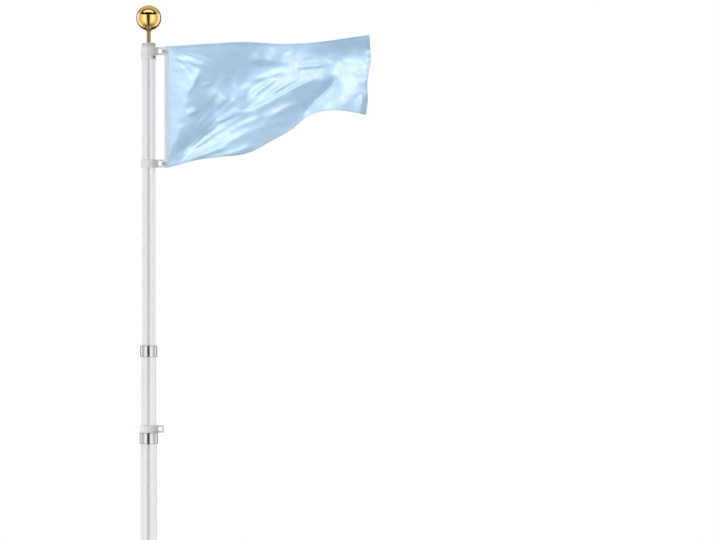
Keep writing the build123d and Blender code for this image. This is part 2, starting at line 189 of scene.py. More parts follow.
# Tension folds: a crest line through three points, its height towards the viewer, how wide
# it is above or left of the line and below or right of it, at its start and end, and the
# shares of its length over which it rises and dies away
FOLDS = {
    "lower middle ray": ([(78, -492), (170, -414), (372, -308)], 3, (22, 22), (14, 12), (0.1, 0.3)),
    "upper middle ray": ([(372, -292), (515, -212), (655, -150)], 8, (11, 11), (26, 22), (0.35, 0.2)),
    "upper ray": ([(262, -268), (292, -240), (340, -204)], 4, (14, 14), (9, 9), (0.35, 0.35)),
    "short ray": ([(235, -322), (320, -302), (405, -262)], 5, (14, 14), (8, 8), (0.3, 0.35)),
    "far ray": ([(398, -222), (442, -188), (522, -132)], 5, (15, 15), (10, 10), (0.35, 0.35)),
    "twin ray": ([(465, -218), (524, -180), (586, -140)], 4, (12, 12), (8, 8), (0.35, 0.5)),
    "lower ray": ([(440, -322), (540, -268), (630, -222)], 4, (13, 13), (9, 9), (0.4, 0.4)),
    "belly ray": ([(130, -482), (270, -424), (420, -346)], 4, (20, 22), (13, 13), (0.35, 0.35)),
    "foot ray": ([(110, -484), (235, -442), (345, -406)], 5, (13, 13), (8, 8), (0.3, 0.3)),
    "hem ray": ([(280, -456), (368, -436), (440, -402)], 5, (12, 12), (9, 9), (0.35, 0.35)),
    "top roll": ([(90, -12), (170, -8), (270, -4)], 10, (12, 12), (24, 34), (0.1, 0.4)),
    "upper corner": ([(92, -60), (170, -76), (250, -100)], 4, (10, 10), (9, 9), (0.25, 0.3)),
    "hoist edge": ([(144, -226), (186, -158), (216, -104)], 4, (16, 16), (9, 9), (0.3, 0.4)),
    "spot": ([(144, -292), (174, -280), (214, -262)], 9, (13, 13), (10, 10), (0.4, 0.4)),
    "dash": ([(208, -172), (240, -164), (268, -158)], 3, (8, 8), (7, 7), (0.4, 0.4)),
    "cloud": ([(385, -58), (470, -66), (570, -82)], 12, (34, 38), (16, 16), (0.3, 0.5)),
    "patch": ([(400, -154), (470, -138), (556, -108)], 4, (15, 15), (9, 9), (0.35, 0.5)),
    "top dash": ([(580, -100), (650, -90), (735, -86)], 6, (12, 12), (9, 9), (0.35, 0.35)),
    "first belt ray": ([(440, -236), (520, -190), (646, -112)], 3, (10, 10), (8, 8), (0.3, 0.5)),
    "second belt ray": ([(556, -198), (622, -158), (716, -126)], 3, (11, 11), (8, 8), (0.3, 0.5)),
    "shelf": ([(600, -166), (690, -148), (758, -140)], 2, (18, 18), (10, 10), (0.3, 0.2)),
    "fly lip": ([(838, -292), (851, -250), (857, -200)], 11, (12, 10), (19, 14), (0.1, 0.4)),
    "fly crease": ([(618, -274), (700, -205), (757, -128)], -9, (20, 16), (9, 8), (0.12, 0.2)),
}
# Distance from the heading over which the folds come in, and samples along a fold's crest
HOIST_FADE = 14
CURVE_POINTS = 40

# Fine wrinkles that fan out from the heading's two corners: the corner, the range of
# directions in degrees, the radii over which they come and go, their spacing in degrees
# and their height
FANS = {
    "lower fan": ((76, -492), (14, 62), (70, 190, 430, 640), 6.4, 0.9),
    "upper fan": ((76, -20), (-62, -4), (30, 70, 150, 260), 11.0, 0.7),
}
# How the fans sway: the reach for a radian, how far, and the shift over a fan's range
FAN_SWAY = (90, 1.6, 5)
# Power of the half sine by which a fan fades at both ends of its range
FAN_FADE = 0.7
# Ruffle along the fly edge: spacing, height and how far it reaches in
FLY_RUFFLE = (54, 3.2, 26)
# Crumple over the whole cloth: direction in degrees, spacing and height of each wave
CRUMPLE = [(23, 71, 0.45), (118, 53, 0.32), (64, 37, 0.20), (-15, 97, 0.50), (151, 29, 0.11)]
# How its crests wind: the length of a bend in spacings, and its swing as a share of one
CRUMPLE_SWAY = (2.3, 0.3)

# Eyelet section: radius and distance from the tape's middle, in millimetres, at one end
EYELET_LIP = [
    (4.0, 1.3), (4.15, 1.95), (4.7, 2.38), (5.4, 2.5), (6.0, 2.28), (6.2, 1.9), (6.05, 1.56),
    (5.2, 1.5),
]

# Studio, as metal mirrors it: grey levels at azimuths in degrees from the camera's side,
# at heights as sines, and for the ceiling from the camera's side (-1) to the far side (1)
WALL_BANDS = [
    (0, 0.05), (12, 0.05), (17, 0.65), (38, 1.0), (62, 0.68), (74, 0.48), (94, 0.48),
    (104, 0.82), (133, 0.82), (140, 0.03), (180, 0.03),
]
WALL_HEIGHTS = [(-1.0, 0.12), (-0.97, 0.2), (-0.85, 0.42), (-0.60, 1.0), (1.0, 1.0)]
CEILING_BANDS = [(-1.0, 0.01), (-0.02, 0.01), (0.03, 0.4), (1.0, 0.4)]
CEILING_SINE = 0.44
CEILING_PANEL = {"Location": (0.0, 1.74, 0.0), "Scale": (1.05, 3.5, 0.0)}

# Suns: the direction that each shines from, and its width in degrees, for soft shadows
KEY_LIGHT = ((-0.50, -0.46, 0.73), 20)
FILL_LIGHT = ((0.45, 0.75, 0.40), 40)
GLOSS_LIGHT = ((-0.28, -0.82, 0.50), 30)

# Floor: its points in and round, its gap under the foot, and where it fades to white
FLOOR_RINGS = 9
FLOOR_SIDES = 96
FLOOR_GAP = 0.5 * MM
FLOOR_FADE = (0.1, 0.7)
CLIP_END = 100


def linear(hex_colour):
    """Linear red, green, blue and alpha of an sRGB colour written as hex digits."""
    shares = [int(hex_colour[i:i + 2], 16) / 255 for i in (0, 2, 4)]
    decoded = [s / 12.92 if s <= 0.04045 else ((s + 0.055) / 1.055) ** 2.4 for s in shares]
    return (*decoded, 1.0)


def grey(level):
    """A neutral colour of one linear level."""
    return (level, level, level, 1.0)


def feed(node, inputs):
    """Gives each named input of a node a value, or a link from a socket or a node.

    A node stands for its first output.
    """
    for name, value in inputs.items():
        source = value.outputs[0] if isinstance(value, bpy.types.Node) else value
        if isinstance(source, bpy.types.NodeSocket):
            node.id_data.links.new(source, node.inputs[name])
        else:
            node.inputs[name].default_value = source


def add_node(tree, kind, inputs=None, stops=(), **settings):
    """Adds a node, sets its properties and feeds its inputs.

    Stops are the places and grey levels of a colour ramp.
    """
    node = tree.nodes.new("ShaderNode" + kind)
    for name, value in settings.items():
        setattr(node, name, value)
    feed(node, inputs or {})
    for i, (place, level) in enumerate(stops):
        elements = node.color_ramp.elements
        element = elements[i] if i < len(elements) else elements.new(place)
        element.position = place
        element.color = grey(level)
    return node


def new_material(name, colour, metallic, roughness, extra=None):
    """An empty material with a Principled shader: returns material, tree and shader."""
    material = bpy.data.materials.new(name)
    material.use_nodes = True
    tree = material.node_tree
    tree.nodes.clear()
    settings = {"Base Color": colour, "Metallic": metallic, "Roughness": roughness}
    shader = add_node(tree, "BsdfPrincipled", {**settings, **(extra or {})})
    add_node(tree, "OutputMaterial", {"Surface": shader})
    return material, tree, shader


def handling_marks(tree, shader, size, smooth, rough):
    """Roughness that drifts between two values over patches of a size in millimetres."""
    place = add_node(tree, "TexCoord")
    patches = add_node(
        tree, "TexNoise", {"Vector": place.outputs["Object"], "Scale": 1 / (size * MM), "Detail": 4.0}
    )
    drift = add_node(
        tree, "MapRange",
        {"Value": patches, "From Min": 0.3, "From Max": 0.7, "To Min": smooth, "To Max": rough},
    )
    feed(shader, {"Roughness": drift})


def uneven_colour(tree, shader, first, second, size):
    """Base colour that drifts between two colours over patches of a size in millimetres."""
    place = add_node(tree, "TexCoord")
    patches = add_node(
        tree, "TexNoise", {"Vector": place.outputs["Object"], "Scale": 1 / (size * MM), "Detail": 3.0}
    )
    mixed = add_node(
        tree, "Mix", {"Factor": patches, 6: linear(first), 7: linear(second)}, data_type="RGBA"
    )
    feed(shader, {"Base Color": mixed.outputs[2]})


def wave_scale(spacing):
    """Scale at which the wave texture, which turns 20 radians a unit, repeats every so many mm."""
    return math.tau / 20 / (spacing * MM)


def curve_through(points, shares):
    """Smooth curve through points at shares of its length.

    Each stretch is a cubic between two points. Its slope at a point is that of the
    parabola through the point and its neighbours, or of the chord at an end of the curve.
    Shares are spread by chord length.
    """
    p = np.array(points, float)
    chords = np.r_[0, np.cumsum(np.linalg.norm(np.diff(p, axis=0), axis=1))]
    place = np.clip(shares, 0, 1) * chords[-1]
    i = np.clip(np.searchsorted(chords, place, side="right") - 1, 0, len(p) - 2)
    step = (chords[i + 1] - chords[i])[:, None]
    slopes = np.gradient(p, chords, axis=0)
    t = ((place - chords[i]) / step[:, 0])[:, None]
    return (
        (2 * t**3 - 3 * t**2 + 1) * p[i]
        + (t**3 - 2 * t**2 + t) * step * slopes[i]
        + (3 * t**2 - 2 * t**3) * p[i + 1]
        + (t**3 - t**2) * step * slopes[i + 1]
    )


def smooth_step(t):
    """0 below 0, 1 above 1, and three t squared minus two t cubed in between."""
    t = np.clip(t, 0, 1)
    return t * t * (3 - 2 * t)


def beside_curve(points, x, z):
    """Distance to the right of a quadratic curve, and share along it.

    The curve is sampled; each place takes the nearest sample's tangent, and the cross
    and dot products of its offset with that tangent give the two results.
    """
    a, b, c = (np.array(p, float) for p in points)
    t = np.linspace(0, 1, CURVE_POINTS)[:, None]
    line = a * (1 - t) ** 2 + 2 * b * t * (1 - t) + c * t**2
    near = np.argmin((x[..., None] - line[:, 0]) ** 2 + (z[..., None] - line[:, 1]) ** 2, -1)
    tangent = np.gradient(line, axis=0)[near]
    step = np.hypot(tangent[..., 0], tangent[..., 1])
    dx, dz = x - line[near, 0], z - line[near, 1]
    side = (tangent[..., 1] * dx - tangent[..., 0] * dz) / step
    along = (tangent[..., 0] * dx + tangent[..., 1] * dz) / step
    return side, (near + along / step) / (CURVE_POINTS - 1)


def line_height(x, z):
    """Height of a smooth form through the main lines' points.

    It is a sum over the points of a weight times the root of the squared distance plus
    the squared rounding, with the weights solved so that each point has its own height.
    """
    points = np.array(sum(MAIN_LINES.values(), []), float)
    gap = np.hypot(*(points[:, None, :2] - points[None, :, :2]).transpose(2, 0, 1))
    weights = np.linalg.solve(np.hypot(gap, LINE_ROUNDING), points[:, 2])
    reach = np.hypot(x[:, None] - points[:, 0], z[:, None] - points[:, 1])
    return np.hypot(reach, LINE_ROUNDING) @ weights


def tension_height(x, z):
    """Height of the tension folds.

    Each is its height times a bell curve of the distance from its crest, with its own
    width on either side, fading at both ends.
    """
    total = np.zeros_like(x)
    for points, height, above, below, fades in FOLDS.values():
        side, share = beside_curve(points, x, z)
        along = np.clip(share, 0, 1)
        upper = above[0] + (above[1] - above[0]) * along
        lower = below[0] + (below[1] - below[0]) * along
        bell = np.exp(-((side / np.where(side < 0, upper, lower)) ** 2))
        ends = smooth_step(share / fades[0]) * smooth_step((1 - share) / fades[1])
        total += height * bell * ends
    return total


def wrinkle_height(x, z):
    """Height of the fine wrinkles.

    A fan is a sine of the direction from its corner, which sways with the distance and
    fades at the ends of its range. The crumple is a sum of sine waves, each of which
    winds from side to side along its crests.
    """
    total = np.zeros_like(x)
    turn_reach, strength, shift = FAN_SWAY
    for corner, (start, end), (rise, full, falling, gone), spacing, height in FANS.values():
        dx, dz = x - corner[0], z - corner[1]
        reach, turn = np.hypot(dx, dz), np.degrees(np.arctan2(dz, dx))
        share = (turn - start) / (end - start)
        window = np.sin(np.pi * np.clip(share, 0, 1)) ** FAN_FADE
        window *= smooth_step((reach - rise) / (full - rise))
        window *= smooth_step((gone - reach) / (gone - falling))
        sway = strength * np.sin(reach / turn_reach + share * shift)
        total += height * window * np.sin(math.tau * turn / spacing + sway)
    length, strength = CRUMPLE_SWAY
    for direction, spacing, height in CRUMPLE:
        towards = math.radians(direction)
        along = (x * math.cos(towards) + z * math.sin(towards)) / spacing
        across = (z * math.cos(towards) - x * math.sin(towards)) / spacing
        winding = strength * np.sin(math.tau * across / length)
        total += height * np.sin(math.tau * (along + winding))
    return total


def flag_surface(u, v, depth):
    """Points of the hung cloth at shares u from heading to fly and v from foot to top.

    The flat place blends the four edges: foot and top by v plus hoist and fly by u, less
    the corners' bilinear patch. The folds, the wrinkles and a ruffle, which is a sine of
    the height that dies away from the fly edge, then move each point along -Y. All of
    them fade out at the heading.
    """
    shape = u.shape
    u, v = u.ravel(), v.ravel()
    foot, top = curve_through(FOOT_EDGE, u), curve_through(TOP_EDGE, u)
    corners = np.array([FOOT_EDGE[0], FOOT_EDGE[-1], TOP_EDGE[0], TOP_EDGE[-1]], float)
    hoist = corners[0] + (corners[2] - corners[0]) * v[:, None]
    fly = curve_through(FLY_EDGE, v)
    u, v = u[:, None], v[:, None]
    bilinear = (
        (1 - u) * (1 - v) * corners[0] + u * (1 - v) * corners[1]
        + (1 - u) * v * corners[2] + u * v * corners[3]
    )
    flat = (1 - v) * foot + v * top + (1 - u) * hoist + u * fly - bilinear
    x, z = flat[:, 0], flat[:, 1]
    spacing, ruffle, reach = FLY_RUFFLE
    from_fly = (1 - u[:, 0]) * (corners[1, 0] - corners[0, 0])
    height = line_height(x, z) + tension_height(x, z) + wrinkle_height(x, z)
    height += ruffle * np.sin(math.tau * z / spacing) * np.exp(-from_fly / reach)
    y = -depth * height * smooth_step((x - HOIST_X) / HOIST_FADE)
    return (np.stack([x, y, z], -1) * MM + (0, 0, CAP_TOP)).reshape(*shape, 3)


def grid_faces(rows, columns, start=0, flip=False):
    """Quads between the points of a grid, as an array of four indices a face."""
    corner = start + np.arange(rows - 1)[:, None] * columns + np.arange(columns - 1)
    quads = np.stack([corner, corner + 1, corner + columns + 1, corner + columns], -1)
    return (quads[..., ::-1] if flip else quads).reshape(-1, 4)


def rim_faces(rows, columns):
    """Quads that join the borders of two equal grids, the second numbered after the first."""
    index = np.arange(rows * columns).reshape(rows, columns)
    loop = np.concatenate([index[0, :-1], index[:-1, -1], index[-1, :0:-1], index[:0:-1, 0]])
    after = np.roll(loop, -1)
    other = rows * columns
    return np.stack([loop, loop + other, after + other, after], -1)


def unit(vectors):
    """Vectors scaled to length 1."""
    return vectors / np.linalg.norm(vectors, axis=-1, keepdims=True)


def surface_normals(points):
    """Unit normals of a grid of points, from the cross product of its two directions."""
    return unit(np.cross(np.gradient(points, axis=1), np.gradient(points, axis=0)))


def new_object(name, data):
    """A new object in the scene, with the mesh, light or camera given."""
    piece = bpy.data.objects.new(name, data)
    bpy.context.scene.collection.objects.link(piece)
    return piece


def mesh_object(name, points, faces, uv=None, values=None, flat_faces=0):
    """A smooth mesh object at the origin from arrays of points and quads.

    It may have a UV map named cloth, and values as point attributes by name. The last
    so many faces are shaded flat.
    """
    mesh = bpy.data.meshes.new(name)
    mesh.from_pydata(points.reshape(-1, 3).tolist(), [], faces.tolist())
    if uv is not None:
        layer = mesh.uv_layers.new(name="cloth")
        layer.data.foreach_set("uv", uv.reshape(-1, 2)[faces.ravel()].astype(np.float32).ravel())
    for attribute, value in (values or {}).items():
        layer = mesh.attributes.new(attribute, "FLOAT", "POINT")
        layer.data.foreach_set("value", value.astype(np.float32).ravel())
    mesh.polygons.foreach_set("use_smooth", np.arange(len(faces)) < len(faces) - flat_faces)
    mesh.validate()
    mesh.update()
    return new_object(name, mesh)


def cloth_sheet(name, middle, half, flat, values=None):
    """A closed sheet: the middle surface moved half its thickness both ways, and a rim."""
    rows, columns = middle.shape[:2]
    offset = surface_normals(middle) * half[..., None]
    points = np.stack([middle + offset, middle - offset])
    rim = rim_faces(rows, columns)
    faces = np.concatenate([
        grid_faces(rows, columns),
        grid_faces(rows, columns, start=rows * columns, flip=True),
        rim,
    ])
    both = {key: np.stack([value, value]) for key, value in (values or {}).items()}
    return mesh_object(name, points, faces, np.stack([flat, flat]), both, len(rim))


def stitching(name, centres, along, outwards, lift, sizes):
    """Thread stitches on both faces of a cloth, lifted from its middle, as one piece.

    Each is a short rod of round rings, whose radius falls with the fourth power of the
    distance from its middle. Its length lies along the row and its side is pressed into
    the surface. Two quads close each end of six points.
    """
    centres = np.concatenate([centres + outwards * lift, centres - outwards * lift])
    outwards = np.concatenate([outwards, -outwards])
    along = np.tile(along, (2, 1))
    place = np.linspace(-1, 1, STITCH_RINGS)
    turn = np.linspace(0, math.tau, STITCH_SIDES, endpoint=False)
    ring = (1 - STITCH_TAPER * place**4) * sizes.thread / 2
    step = place[:, None, None] * sizes.stitch / 2
    across = np.cross(outwards, along)[:, None, None, :]
    side = (ring[:, None] * np.cos(turn))[None, ..., None] * across
    up = (ring[:, None] * np.sin(turn))[None, ..., None] * outwards[:, None, None, :]
    points = centres[:, None, None, :] + step * along[:, None, None, :] + side + up
    index = np.arange(STITCH_RINGS * STITCH_SIDES).reshape(STITCH_RINGS, STITCH_SIDES)
    after = np.roll(index, -1, axis=1)
    walls = np.stack([index[:-1], after[:-1], after[1:], index[1:]], -1).reshape(-1, 4)
    start = index[0][[[3, 2, 1, 0], [5, 4, 3, 0]]]
    end = index[-1][[[0, 1, 2, 3], [0, 3, 4, 5]]]
    one = np.concatenate([walls, start, end])
    faces = one[None] + index.size * np.arange(len(centres))[:, None, None]
    return mesh_object(name, points, faces.reshape(-1, 4))


class FlagSizes(bpy.types.PropertyGroup):
    """Sizes of the cloth and its trimmings."""

    cut_width: FloatProperty(
        name="Hoist", description="Height of the cloth as cut", default=0.49, unit="LENGTH"
    )
    cut_length: FloatProperty(
        name="Fly", description="Length of the cloth as cut", default=0.82, unit="LENGTH"
    )
    thickness: FloatProperty(
        name="Thickness", description="Thickness of the cloth", default=0.0008, unit="LENGTH"
    )
    hem: FloatProperty(name="Hem", description="Width of the turned hem", default=0.010, unit="LENGTH")
    depth: FloatProperty(name="Fold depth", description="Share of the folds' full depth", default=1.0)
    columns: IntProperty(name="Columns", description="Points along the fly", default=262)
    rows: IntProperty(name="Rows", description="Points along the hoist", default=160)
    stitch: FloatProperty(name="Stitch", description="Length of a stitch", default=0.0032, unit="LENGTH")
    stitch_gap: FloatProperty(
        name="Stitch gap", description="Gap between stitches", default=0.0010, unit="LENGTH"
    )
    thread: FloatProperty(
        name="Thread", description="Thickness of the thread", default=0.0007, unit="LENGTH"
    )


class FinishColours(bpy.types.PropertyGroup):
    """Colours of the finishes, as sRGB hex digits."""

    cloth: StringProperty(name="Cloth", description="Light blue of the flag", default="B2D2EE")
    heading: StringProperty(name="Heading", description="White of the hoist tape", default="D6D9E2")
    tube: StringProperty(name="Tube", description="Silver of the tubes", default="E6E7E8")
    collar: StringProperty(name="Collar", description="Silver of the collars", default="BFC0C2")
    gold: StringProperty(name="Gold", description="Gold of the ball", default="F2D088")
    # The rod's gold is darker than the ball's: painted shade for the ball's shadow over it
    rod: StringProperty(name="Rod", description="Deeper gold of the ball's rod", default="A98A58")
    ring: StringProperty(name="Ring", description="White of the flag rings", default="D6D8D8")
    cap: StringProperty(name="Cap", description="Pale grey of the pole's cap", default="BDBEBA")


class StudioSettings(bpy.types.PropertyGroup):
    """Camera and light."""

    distance: FloatProperty(name="Distance", description="Camera to pole", default=12.0, unit="LENGTH")
    frame_width: FloatProperty(
        name="Frame width", description="Width seen at the pole", default=2.864, unit="LENGTH"
    )
    centre_x: FloatProperty(
        name="Centre", description="Middle of the view from the pole", default=0.837, unit="LENGTH"
    )
    centre_drop: FloatProperty(
        name="Drop", description="Middle of the view below the cap", default=0.908, unit="LENGTH"
    )
    floor_radius: FloatProperty(
        name="Floor", description="Radius of the floor", default=20.0, unit="LENGTH"
    )
    key_strength: FloatProperty(name="Key", description="Strength of the key light", default=2.3)
    fill_strength: FloatProperty(name="Fill", description="Strength of the light behind", default=1.7)
    gloss_strength: FloatProperty(
        name="Gloss", description="Strength of the light that the cloth mirrors", default=3.2
    )
    ambient: FloatProperty(name="Ambient", description="Even light on matt surfaces", default=0.48)
    window: FloatProperty(name="Windows", description="Brightness of the mirrored windows", default=1.7)


def hem_spacing(count, length, hem, low_end=True):
    """Shares of a length for rows of points, close together in the hem at each hemmed end."""
    inner = np.array(HEM_ROWS) * hem / length
    low = np.r_[0, inner] if low_end else np.r_[0.0]
    high = 1 - np.r_[0, inner][::-1]
    middle = np.linspace(low[-1], high[0], count - len(low) - len(high) + 2)[1:-1]
    return np.concatenate([low, middle, high])


class FLAGPOLE_OT_flag(bpy.types.Operator):
    """Hang the folded cloth with its turned hems"""

    bl_idname = "flagpole.flag"
    bl_label = "Flag"

    def execute(self, context):
        sizes = context.scene.flagpole_flag
        across = hem_spacing(sizes.columns, sizes.cut_length, sizes.hem, low_end=False)
        up = hem_spacing(sizes.rows, sizes.cut_width, sizes.hem)
        u, v = np.meshgrid(across, up)
        to_edge = np.minimum.reduce(
            [(1 - u) * sizes.cut_length, v * sizes.cut_width, (1 - v) * sizes.cut_width]
        )
        hem = 1 - smooth_step((to_edge / sizes.hem - 1) / HEM_FADE)
        seam = np.exp(-(((to_edge / sizes.hem - HEM_SEAM) / SEAM_WIDTH) ** 2))
        edge = 1 - EDGE_TAKES * smooth_step(1 - to_edge / (EDGE_WIDTH * sizes.hem))
        half = sizes.thickness / 2 * (1 + HEM_ADDS * hem - SEAM_TAKES * seam) * edge
        middle = flag_surface(u, v, sizes.depth)
        half = np.where(middle[..., 0] < HOIST_X * MM, np.minimum(half, TUCKED_HALF), half)
        flat = np.stack([u * sizes.cut_length, v * sizes.cut_width], -1)
        # The hem share also darkens the satin's colour in the hems, as painted shade
        flag = cloth_sheet("flag_cloth", middle, half, flat, {"hem": hem})
        flag.data.materials.append(satin(context.scene.flagpole_colours.cloth))
        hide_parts("flag")
        bunch(flag)
        return {"FINISHED"}


def bunch(piece):
    """Carries a soft piece on the upper ring's body, with a mesh of its own.
    """
    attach(piece, FLAG_BODY)
    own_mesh(piece)


class FLAGPOLE_OT_trimmings(bpy.types.Operator):
    """Sew the heading tape and the hems, and press in the eyelets"""

    bl_idname = "flagpole.trimmings"
    bl_label = "Tape, stitching and eyelets"

    def execute(self, context):
        sizes = context.scene.flagpole_flag
        colours = context.scene.flagpole_colours
        hem_thread = self.hem_stitching(sizes)
        hem_thread.data.materials.append(thread("polyester_thread_twisted_blue", colours.cloth))
        bunch(hem_thread)
        fabric = cotton_tape(colours.heading)
        white_thread = thread("polyester_thread_twisted_white", "F4F4F2")
        tapes = []
        for part, low, high, body in (
            ("_upper", UPPER_TAPE_END, HEADING_HIGH.z, FLAG_BODY),
            ("", LOWER_TAPE_END, UPPER_TAPE_END, None),
            ("_lower", HEADING_LOW.z, LOWER_TAPE_END, LOWER_BODY),
        ):
            tape = self.heading_tape(f"heading_tape{part}", low, high)
            tape.data.materials.append(fabric)
            stitches = self.heading_stitching(f"heading_stitching{part}", low, high, sizes)
            stitches.data.materials.append(white_thread)
            if body != LOWER_BODY:
                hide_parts("flag_heading")
            for piece in (tape, stitches):
                if body:
                    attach(piece, body)
                else:
                    bunch(piece)
            tapes += [tape, stitches]
        brass = pressed_brass()
        for name, box, body in (
            ("upper_eyelet", UPPER_EYELET, FLAG_BODY),
            ("lower_eyelet", LOWER_EYELET, LOWER_BODY),
        ):
            eyelet = self.eyelet(f"{name}_brass", box)
            eyelet.data.materials.append(brass)
            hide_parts(name)
            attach(eyelet, body)
        return {"FINISHED"}

    def tape_path(self, share):
        """Places x, y of the folded tape's middle at shares of its cut width.

        It runs straight along one side, round a half circle at the pole's side and
        straight back along the other.
        """
        radius = HEADING_HIGH.y - TAPE_LAYER / 2
        straight = HEADING_HIGH.x - HEADING_LOW.x - TAPE_LAYER / 2 - radius
        bend = math.pi * radius
        s = share * (2 * straight + bend) - straight - bend / 2
        angle = np.clip(s / radius, -math.pi / 2, math.pi / 2)
        past = np.maximum(np.abs(s) - bend / 2, 0)
        x = HEADING_HIGH.x - straight + past - radius * np.cos(angle)
        return x, radius * np.sin(angle)

    def heading_tape(self, name, low, high):
        """A stretch of the tape folded over the hoist: the folded path, carried up the hoist.

        Small sines of the height pucker it between the stitches, and a cutter takes out
        an eyelet's hole.
        """
        rows = round((high - low) / TAPE_ROW) + 1
        share, z = np.meshgrid(np.linspace(0, 1, TAPE_COLUMNS), np.linspace(low, high, rows))
        x, y = self.tape_path(share)
        phase = math.tau * z / PUCKER_SPACING + PUCKER_SHIFT * np.sin(z / PUCKER_WANDER)
        middle = np.stack([x, y * (1 - PUCKER * (1 + np.sin(phase))), z], -1)
        half = np.full(share.shape, TAPE_LAYER / 2)
        width = 2 * (HEADING_HIGH.x - HEADING_LOW.x)
        flat = np.stack([share * width, z - HEADING_LOW.z], -1)
        tape = cloth_sheet(name, middle, half, flat)
        for corners in (UPPER_EYELET, LOWER_EYELET):
            centre = (corners[0] + corners[1]) / 2
            if low < centre.z < high:
                self.punch(tape, centre)
        return tape

    def punch(self, piece, centre):
        """Cuts a hole along Y through a piece with a many-sided cylinder, and applies the cut."""
        turn = np.linspace(0, math.tau, PUNCH_SIDES, endpoint=False)
        radius = EYELET_RADIUS - PUNCH_INSET
        ends = np.array([-1.0, 1.0])[:, None] * PUNCH_REACH
        x = centre.x + radius * np.cos(turn) + 0 * ends
        z = centre.z + radius * np.sin(turn) + 0 * ends
        points = np.stack([x, 0 * x + ends, z], -1)
        index = np.arange(2 * PUNCH_SIDES).reshape(2, PUNCH_SIDES)
        after = np.roll(index, -1, axis=1)
        walls = np.stack([index[0], index[1], after[1], after[0]], -1)
        mesh = bpy.data.meshes.new("punch")
        caps = [index[0].tolist(), index[1, ::-1].tolist()]
        mesh.from_pydata(points.reshape(-1, 3).tolist(), [], walls.tolist() + caps)
        cutter = new_object("punch", mesh)
        cut = piece.modifiers.new("punch", "BOOLEAN")
        cut.operation = "DIFFERENCE"
        cut.object = cutter
        cut.solver = "EXACT"
        depsgraph = bpy.context.evaluated_depsgraph_get()
        result = bpy.data.meshes.new_from_object(piece.evaluated_get(depsgraph))
        piece.modifiers.clear()
        piece.data = result
        bpy.data.objects.remove(cutter)

    def hem_stitching(self, sizes):
        """Stitches along top, foot and fly hems on both faces of the cloth.

        A row follows the cloth at a set distance from its edge. A stitch lies along a
        small step on the surface, and its normal is the cross product of two such steps.
        """
        inset_u = HEM_SEAM * sizes.hem / sizes.cut_length
        inset_v = HEM_SEAM * sizes.hem / sizes.cut_width
        pitch = sizes.stitch + sizes.stitch_gap
        along_fly = np.arange(pitch, sizes.cut_length * (1 - inset_u), pitch) / sizes.cut_length
        along_hoist = np.arange(inset_v * sizes.cut_width, sizes.cut_width, pitch) / sizes.cut_width
        u = np.concatenate([along_fly, along_fly, 0 * along_hoist + 1 - inset_u])
        v = np.concatenate([0 * along_fly + inset_v, 0 * along_fly + 1 - inset_v, along_hoist])
        on_fly_edge = np.arange(len(u)) >= 2 * len(along_fly)

        def slope(du, dv):
            """Step on the cloth between the places at either side of each stitch."""
            ahead = flag_surface(np.clip(u + du, 0, 1), np.clip(v + dv, 0, 1), sizes.depth)
            return ahead - flag_surface(np.clip(u - du, 0, 1), np.clip(v - dv, 0, 1), sizes.depth)

        fly_way, up_way = slope(SLOPE_STEP, 0), slope(0, SLOPE_STEP)
        return stitching(
            "hem_stitching", flag_surface(u, v, sizes.depth),
            unit(np.where(on_fly_edge[:, None], up_way, fly_way)),
            unit(np.cross(fly_way, up_way)), sizes.thickness * HEM_STITCH_LIFT, sizes,
        )

    def heading_stitching(self, name, low, high, sizes):
        """Two rows of stitches up a stretch of the tape, on both faces."""
        pitch = sizes.stitch + sizes.stitch_gap
        z = np.arange(HEADING_LOW.z + pitch, HEADING_HIGH.z - pitch, pitch)
        z = z[(z > low + sizes.stitch / 2) & (z < high - sizes.stitch / 2)]
        x, z = (side.ravel() for side in np.meshgrid(TAPE_SEAMS, z, indexing="ij"))
        along = np.tile([0.0, 0.0, 1.0], (len(x), 1))
        outwards = np.tile([0.0, -1.0, 0.0], (len(x), 1))
        lift = HEADING_HIGH.y + TAPE_STITCH_LIFT
        return stitching(name, np.stack([x, 0 * x, z], -1), along, outwards, lift, sizes)

    def eyelet(self, name, box):
        """A pressed eyelet: its closed section, turned about the hole's axis along Y."""
        centre = (box[0] + box[1]) / 2
        lip = np.array(EYELET_LIP) * MM
        section = np.concatenate([lip * (1, -1), lip[::-1]])
        turn = np.linspace(0, math.tau, EYELET_SIDES, endpoint=False)
        radius, y = section[:, :1], section[:, 1:]
        points = np.stack([
            centre.x + radius * np.cos(turn), centre.y + y + 0 * turn,
            centre.z + radius * np.sin(turn),
        ], -1)
        index = np.arange(len(section) * EYELET_SIDES).reshape(len(section), EYELET_SIDES)
        side, after = np.roll(index, -1, axis=0), np.roll(index, -1, axis=1)
        corner = np.roll(side, -1, axis=1)
        faces = np.stack([index, after, corner, side], -1).reshape(-1, 4)
        return mesh_object(name, points, faces)


def weave(tree, shader, crossing, spacing, strength, depth):
    """Threads along and across the piece's cloth map, with spacing and depth in millimetres.

    They are two waves, and crossing is the operation that lays one over the other.
    """
    place = add_node(tree, "UVMap", uv_map="cloth")
    settings = {"Vector": place, "Scale": wave_scale(spacing)}
    warp, weft = (add_node(tree, "TexWave", settings, bands_direction=way) for way in "XY")
    cloth = add_node(tree, "Math", {0: warp.outputs["Fac"], 1: weft.outputs["Fac"]}, operation=crossing)
    bump = add_node(tree, "Bump", {"Strength": strength, "Distance": depth * MM, "Height": cloth})
    feed(shader, {"Normal": bump})


